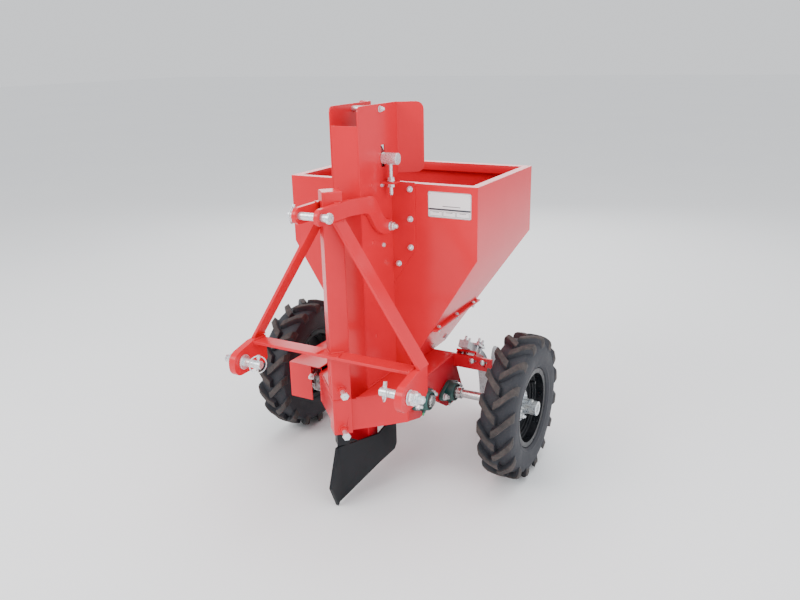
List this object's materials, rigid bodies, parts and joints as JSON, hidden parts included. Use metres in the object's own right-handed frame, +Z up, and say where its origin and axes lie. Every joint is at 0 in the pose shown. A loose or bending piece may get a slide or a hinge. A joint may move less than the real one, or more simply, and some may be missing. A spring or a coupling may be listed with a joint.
{
  "type": "potato planter",
  "caption": "Tractor-mounted single-row seed potato planter: hopper, cup-belt elevator driven from the land wheels, furrow opener, covering discs and three-point hitch.",
  "frame": {"origin": "middle of the footprint, on the ground under the tyres", "axes": "+Z up, -Y towards the tractor, +X towards the side away from the drive chain"},
  "size_m": [0.842, 0.8301, 1.042],
  "materials": {
    "red_powder_coat": "gloss",
    "black_paint": "satin",
    "zinc_plate": "satin",
    "bright_steel": "satin",
    "tyre_rubber": "matte",
    "green_casting": "painted satin",
    "belting": "matte"
  },
  "bodies": {
    "frame": {"hopper_shell": "red_powder_coat", "elevator_front_channel": "red_powder_coat", "left_side_panel": "red_powder_coat", "right_side_panel": "red_powder_coat", "divider_plate": "red_powder_coat", "boot_pan": "red_powder_coat", "seed_chute": "red_powder_coat", "left_tensioner_lug": "red_powder_coat", "right_tensioner_lug": "red_powder_coat", "chain_guard": "red_powder_coat", "base_top_plate": "red_powder_coat", "left_base_side_plate": "red_powder_coat", "right_base_side_plate": "red_powder_coat", "left_vee_plate": "red_powder_coat", "right_vee_plate": "red_powder_coat", "rear_toolbar": "red_powder_coat", "mast_post": "red_powder_coat", "opener_sleeve": "red_powder_coat", "left_top_link_plate": "red_powder_coat", "right_top_link_plate": "red_powder_coat", "left_brace": "red_powder_coat", "right_brace": "red_powder_coat", "crossbar": "red_powder_coat", "left_hitch_ear": "red_powder_coat", "right_hitch_ear": "red_powder_coat", "left_arm_bracket": "red_powder_coat", "right_arm_bracket": "red_powder_coat", "left_hitch_pin": "zinc_plate", "right_hitch_pin": "zinc_plate", "left_arm_clamp": "zinc_plate", "right_arm_clamp": "zinc_plate", "drive_chain": "bright_steel", "left_axle_bearing": "green_casting", "right_axle_bearing": "green_casting", "left_lower_shaft_bearing": "green_casting", "right_lower_shaft_bearing": "green_casting", "cup_belt": "belting"},
    "axle": {"axle": "bright_steel", "left_tyre": "tyre_rubber", "right_tyre": "tyre_rubber", "left_rim": "black_paint", "right_rim": "black_paint", "left_hub": "zinc_plate", "right_hub": "zinc_plate", "drive_sprocket": "bright_steel"},
    "lower_shaft": {"lower_shaft": "bright_steel", "driven_sprocket": "bright_steel", "lower_belt_pulley": "zinc_plate"},
    "tensioner": {"left_tensioner_eye": "zinc_plate", "right_tensioner_eye": "zinc_plate"},
    "upper_shaft": {"upper_shaft": "bright_steel", "upper_belt_pulley": "zinc_plate"},
    "opener": {"furrow_opener": "black_paint"},
    "upper_set_bolt": {"upper_set_bolt": "zinc_plate"},
    "lower_set_bolt": {"lower_set_bolt": "zinc_plate"},
    "top_link_pin": {"top_link_pin": "zinc_plate"},
    "left_arm": {"left_disc_arm": "zinc_plate"},
    "right_arm": {"right_disc_arm": "zinc_plate"},
    "left_disc": {"left_covering_disc": "bright_steel"},
    "right_disc": {"right_covering_disc": "bright_steel"}
  },
  "joints": [
    {"name": "wheel_axle_spin", "type": "hinge", "parent": "frame", "child": "axle", "pos_m": [0, 0.072, 0.205], "axis": [1, 0, 0], "continuous": true},
    {"name": "lower_shaft_spin", "type": "hinge", "parent": "frame", "child": "lower_shaft", "pos_m": [0, -0.097, 0.249], "axis": [1, 0, 0], "continuous": true},
    {"name": "belt_tension", "type": "slide", "parent": "frame", "child": "tensioner", "axis": [0, 0, 1], "range_m": [-0.012, 0]},
    {"name": "upper_shaft_spin", "type": "hinge", "parent": "tensioner", "child": "upper_shaft", "pos_m": [0, -0.097, 0.906], "axis": [1, 0, 0], "continuous": true},
    {"name": "opener_depth", "type": "slide", "parent": "frame", "child": "opener", "axis": [0, 0, 1], "range_m": [-0.06, 0.025]},
    {"name": "upper_set_bolt_travel", "type": "slide", "parent": "frame", "child": "upper_set_bolt", "axis": [0.7071, -0.7071, 0], "range_m": [0, 0.008]},
    {"name": "lower_set_bolt_travel", "type": "slide", "parent": "frame", "child": "lower_set_bolt", "axis": [0.7071, -0.7071, 0], "range_m": [0, 0.008]},
    {"name": "top_link_pin_pull", "type": "slide", "parent": "frame", "child": "top_link_pin", "axis": [1, 0, 0], "range_m": [0, 0.1]},
    {"name": "left_arm_reach", "type": "slide", "parent": "frame", "child": "left_arm", "axis": [0, 0.8387, -0.5446], "range_m": [-0.015, 0.015]},
    {"name": "right_arm_reach", "type": "slide", "parent": "frame", "child": "right_arm", "axis": [0, 0.8387, -0.5446], "range_m": [-0.015, 0.015]},
    {"name": "left_disc_spin", "type": "hinge", "parent": "left_arm", "child": "left_disc", "pos_m": [-0.2183, 0.3085, 0.136], "axis": [-0.866, 0.5, 0], "continuous": true},
    {"name": "right_disc_spin", "type": "hinge", "parent": "right_arm", "child": "right_disc", "pos_m": [0.2183, 0.3085, 0.136], "axis": [0.866, 0.5, 0], "continuous": true}
  ],
  "couplings": [
    {"joint": "lower_shaft_spin", "follows": "wheel_axle_spin", "ratio": 1.3333},
    {"joint": "upper_shaft_spin", "follows": "wheel_axle_spin", "ratio": 1.3333}
  ]
}
